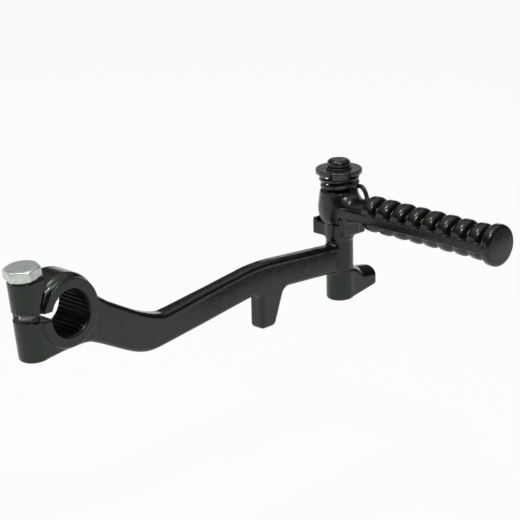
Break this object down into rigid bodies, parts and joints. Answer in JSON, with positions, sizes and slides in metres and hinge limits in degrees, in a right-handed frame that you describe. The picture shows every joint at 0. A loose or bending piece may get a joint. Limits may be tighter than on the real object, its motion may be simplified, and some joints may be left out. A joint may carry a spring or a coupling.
{
  "type": "kick start lever",
  "caption": "Forged kick start lever with a splined pinch-clamp boss, a dipped arm, a rest lug and a folding ribbed foot pedal on a sprung pivot.",
  "frame": {"origin": "centre of the splined bore, halfway along the boss", "axes": "+Y along the splined bore towards the engine, +X from the boss towards the pedal's pivot, +Z along the pivot towards its snap ring"},
  "size_m": [0.1955, 0.102, 0.0621],
  "materials": {
    "black_paint": "gloss",
    "zinc_plate": "satin",
    "spring_wire": "satin",
    "cup_black": "satin"
  },
  "bodies": {
    "crank": {"crank_arm": "black_paint", "clamp_bolt": "zinc_plate", "spring_cup": "cup_black", "snap_ring": "spring_wire"},
    "pedal": {"pedal": "black_paint", "return_spring": "spring_wire"}
  },
  "joints": [
    {"name": "pedal_fold", "type": "hinge", "parent": "crank", "child": "pedal", "pos_m": [0.154, -0.0045, 0], "axis": [0, 0, 1], "range_deg": [-90, 0]}
  ]
}
